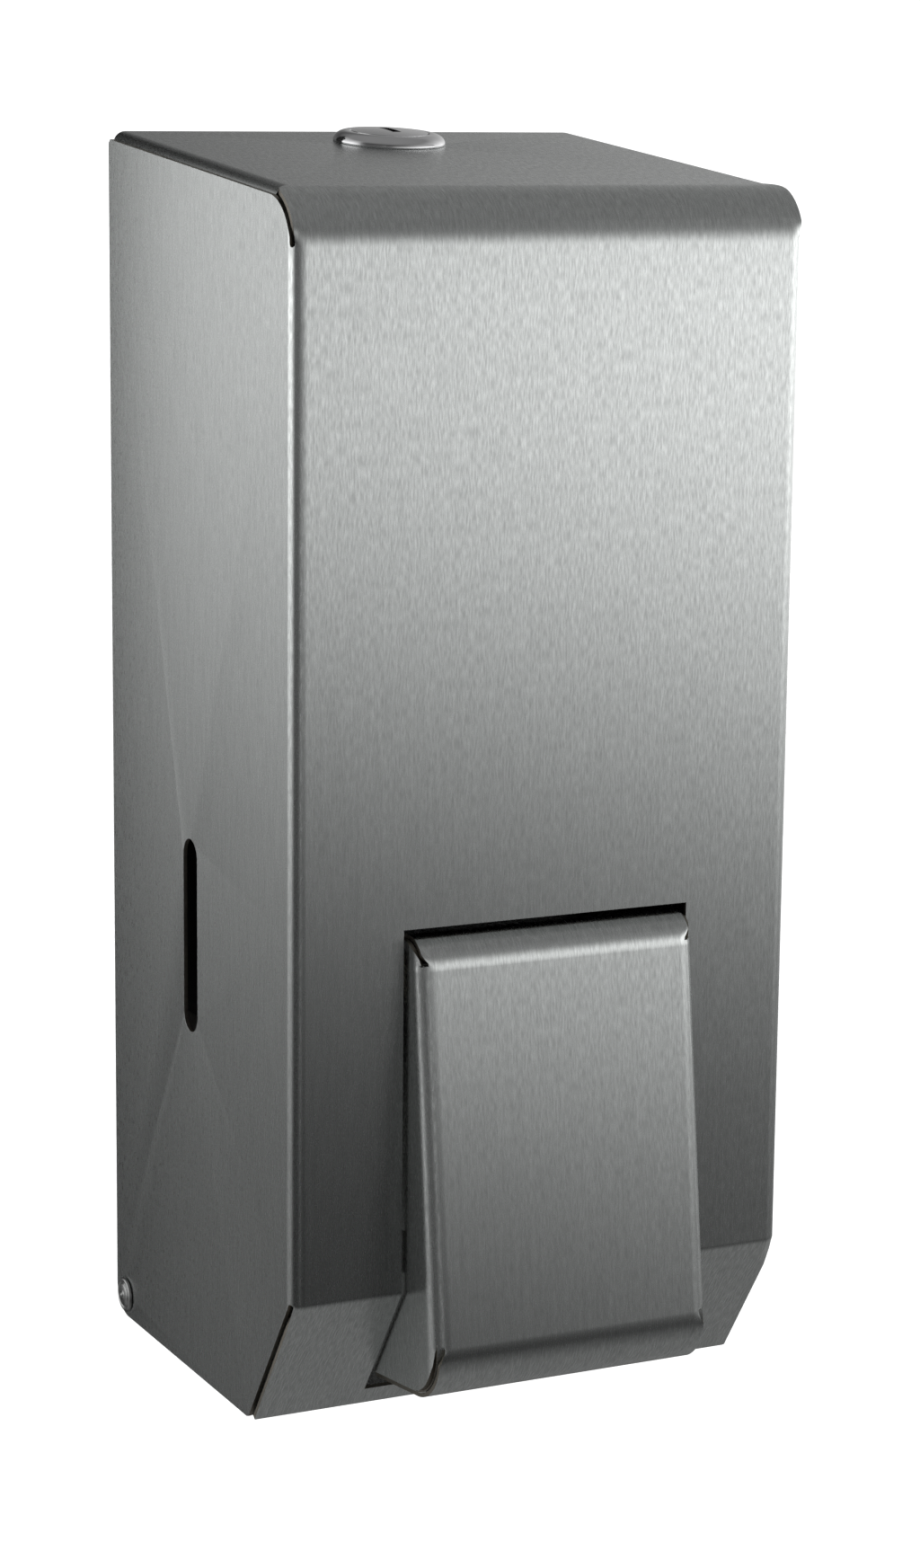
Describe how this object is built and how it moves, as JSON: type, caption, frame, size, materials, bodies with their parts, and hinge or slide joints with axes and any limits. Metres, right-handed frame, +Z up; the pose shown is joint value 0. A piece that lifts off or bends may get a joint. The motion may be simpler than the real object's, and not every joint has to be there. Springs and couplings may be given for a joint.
{
  "type": "wall mounted soap dispenser",
  "caption": "Lockable folded steel wall dispenser with a front push lever, a hinged cover, a soap tank and a piston pump.",
  "frame": {"origin": "centre of the four wall holes, on the back plate's rear face", "axes": "+Y into the wall, square to the back plate's rear face; +Z up; the lever faces -Y"},
  "size_m": [0.1284, 0.1273, 0.2914],
  "materials": {
    "cover_steel": "fine upright brushed grain",
    "lever_steel": "fine upright brushed grain",
    "plate_steel": "dull cold rolled sheet",
    "chrome": "polished",
    "zinc": "zinc plated",
    "pin_steel": "turned",
    "smoke_plastic": "translucent smoke grey",
    "black_plastic": "moulded, fine texture",
    "white_plastic": "moulded",
    "ivory_plastic": "moulded acetal",
    "rubber": "matt",
    "silicone": "satin silicone"
  },
  "bodies": {
    "root": {"back_plate": "plate_steel", "hinge_rivets": "pin_steel", "hinge_washers": "white_plastic", "cover_bumpers": "rubber", "lock_catch": "plate_steel", "reservoir_shelf": "plate_steel", "shelf_rivets": "pin_steel", "reservoir": "smoke_plastic", "reservoir_clip": "plate_steel", "outlet_gasket": "silicone", "coupling_nut": "black_plastic", "pump_body": "white_plastic", "pump_cap": "black_plastic", "pump_spring": "pin_steel", "pump_bracket": "plate_steel", "outlet_valve": "silicone", "nozzle": "white_plastic"},
    "cover": {"cover": "cover_steel", "lock_housing": "chrome", "lock_nut": "zinc", "lock_washer": "zinc", "lever_brackets": "plate_steel", "lever_pin": "pin_steel", "pin_clips": "pin_steel"},
    "lock_barrel": {"lock_plug": "chrome", "lock_cam": "zinc", "cam_screw": "zinc"},
    "push_lever": {"push_lever": "lever_steel", "lever_bushes": "ivory_plastic", "lever_pad": "ivory_plastic"},
    "plunger": {"plunger": "white_plastic", "plunger_seal": "rubber", "plunger_button": "black_plastic"},
    "filler_cap": {"filler_cap": "black_plastic", "cap_seal": "silicone"},
    "inlet_ball": {"inlet_ball": "pin_steel"}
  },
  "joints": [
    {"name": "cover_hinge", "type": "hinge", "parent": "root", "child": "cover", "pos_m": [0, -0.0075, -0.1445], "axis": [1, 0, 0], "range_deg": [0, 90]},
    {"name": "lock_turn", "type": "hinge", "parent": "cover", "child": "lock_barrel", "pos_m": [0, -0.0235, 0.13775], "axis": [0, 0.0995, -0.995], "range_deg": [0, 90]},
    {"name": "lever_press", "type": "hinge", "parent": "cover", "child": "push_lever", "pos_m": [0, -0.1016, -0.0446], "axis": [1, 0, 0], "range_deg": [0, 10]},
    {"name": "plunger_slide", "type": "slide", "parent": "root", "child": "plunger", "axis": [0, 1, 0], "range_m": [0, 0.0107], "stiffness_N_per_m": 600, "springref_m": -0.008, "deforming": ["pump_spring"]},
    {"name": "filler_cap_turn", "type": "hinge", "parent": "root", "child": "filler_cap", "pos_m": [0, -0.046, 0.1], "axis": [0, 0, 1], "range_deg": [0, 90]},
    {"name": "inlet_ball_lift", "type": "slide", "parent": "root", "child": "inlet_ball", "axis": [0, 0, 1], "range_m": [0, 0.0025]}
  ],
  "couplings": [
    {"joint": "plunger_slide", "follows": "lever_press", "m_per_rad": 0.0605}
  ]
}
